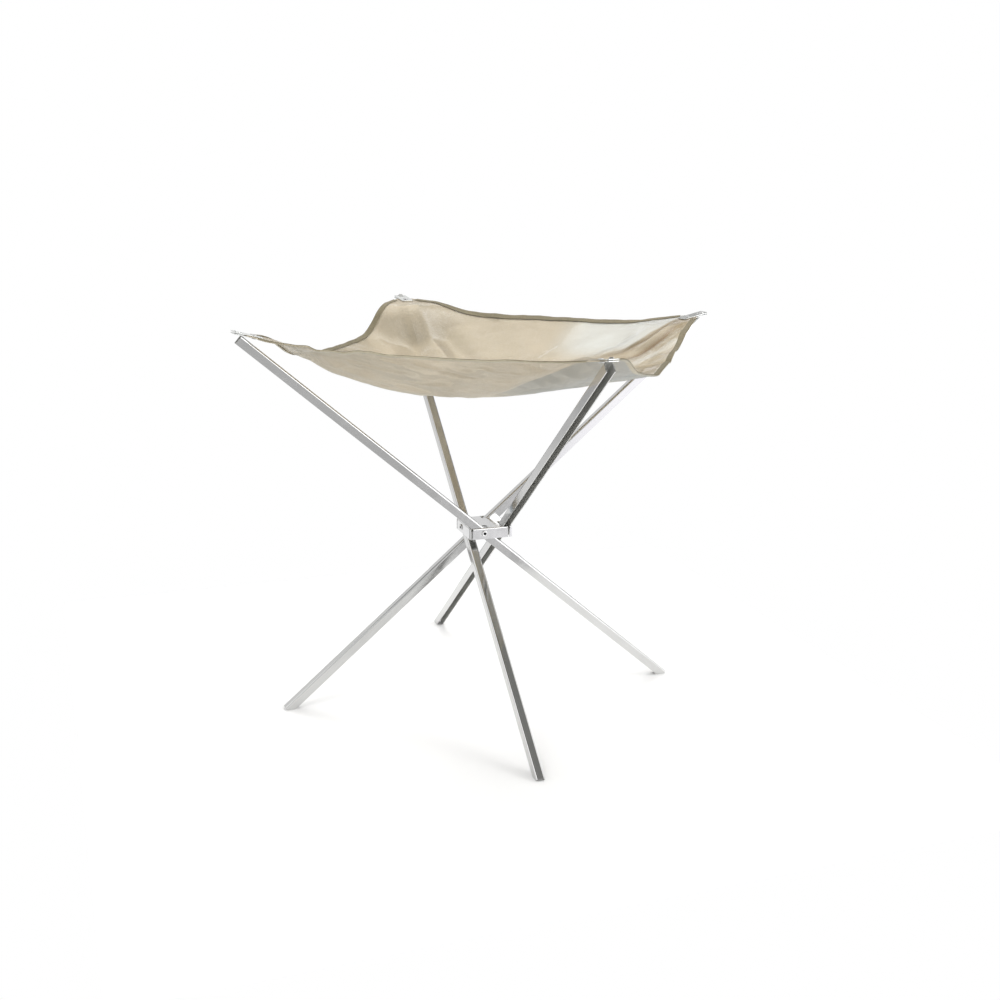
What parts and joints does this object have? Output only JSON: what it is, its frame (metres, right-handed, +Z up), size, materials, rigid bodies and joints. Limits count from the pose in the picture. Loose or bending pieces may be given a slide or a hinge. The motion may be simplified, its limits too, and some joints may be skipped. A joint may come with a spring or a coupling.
{
  "type": "folding mesh fire pit",
  "caption": "Folding camp fire pit: channel legs crossing in a pinwheel hub carry a sagging woven steel sheet by slotted corner plates hooked on their tips.",
  "frame": {"origin": "on the ground, on the vertical axis through the middle of the hub", "axes": "+Z up, -X towards the tip of leg A, -Y towards the tip of leg B, +X towards the tip of leg C, +Y towards the tip of leg D"},
  "size_m": [0.5508, 0.5513, 0.4307],
  "materials": {
    "hub_steel": "satin",
    "leg_steel": "satin",
    "rivet_steel": "satin",
    "plate_steel": "polished",
    "wire_cloth": "woven, matte",
    "strip_cloth": "woven, matte"
  },
  "bodies": {
    "hub": {"hub": "hub_steel", "pivot_rivet_a": "rivet_steel", "pivot_rivet_b": "rivet_steel", "pivot_rivet_c": "rivet_steel", "pivot_rivet_d": "rivet_steel"},
    "leg_a": {"leg_a": "leg_steel"},
    "leg_b": {"leg_b": "leg_steel"},
    "leg_c": {"leg_c": "leg_steel"},
    "leg_d": {"leg_d": "leg_steel"},
    "net": {"fire_net": "wire_cloth", "strip_ab": "strip_cloth", "strip_bc": "strip_cloth", "strip_dc": "strip_cloth", "strip_ad": "strip_cloth", "plate_lower_a": "plate_steel", "plate_lower_b": "plate_steel", "plate_lower_c": "plate_steel", "plate_lower_d": "plate_steel", "plate_upper_a": "plate_steel", "plate_upper_b": "plate_steel", "plate_upper_c": "plate_steel", "plate_upper_d": "plate_steel", "corner_rivet_a": "rivet_steel", "corner_rivet_b": "rivet_steel", "corner_rivet_c": "rivet_steel", "corner_rivet_d": "rivet_steel"}
  },
  "joints": [
    {"name": "leg_a_fold", "type": "hinge", "parent": "hub", "child": "leg_a", "pos_m": [-0.0081, -0.0184, 0.19894], "axis": [0, 1, 0], "range_deg": [0, 49.5]},
    {"name": "leg_b_fold", "type": "hinge", "parent": "hub", "child": "leg_b", "pos_m": [0.0184, -0.0081, 0.19894], "axis": [-1, 0, 0], "range_deg": [0, 49.5]},
    {"name": "leg_c_fold", "type": "hinge", "parent": "hub", "child": "leg_c", "pos_m": [0.0081, 0.0184, 0.19894], "axis": [0, -1, 0], "range_deg": [0, 49.5]},
    {"name": "leg_d_fold", "type": "hinge", "parent": "hub", "child": "leg_d", "pos_m": [-0.0184, 0.0081, 0.19894], "axis": [1, 0, 0], "range_deg": [0, 49.5]},
    {"name": "net_lift", "type": "slide", "parent": "hub", "child": "net", "axis": [0, 0, 1], "range_m": [0, 0.393]}
  ],
  "couplings": [
    {"joint": "leg_b_fold", "follows": "leg_a_fold", "ratio": 1},
    {"joint": "leg_c_fold", "follows": "leg_a_fold", "ratio": 1},
    {"joint": "leg_d_fold", "follows": "leg_a_fold", "ratio": 1},
    {"joint": "net_lift", "follows": "leg_a_fold", "m_per_rad": 0.4544}
  ]
}
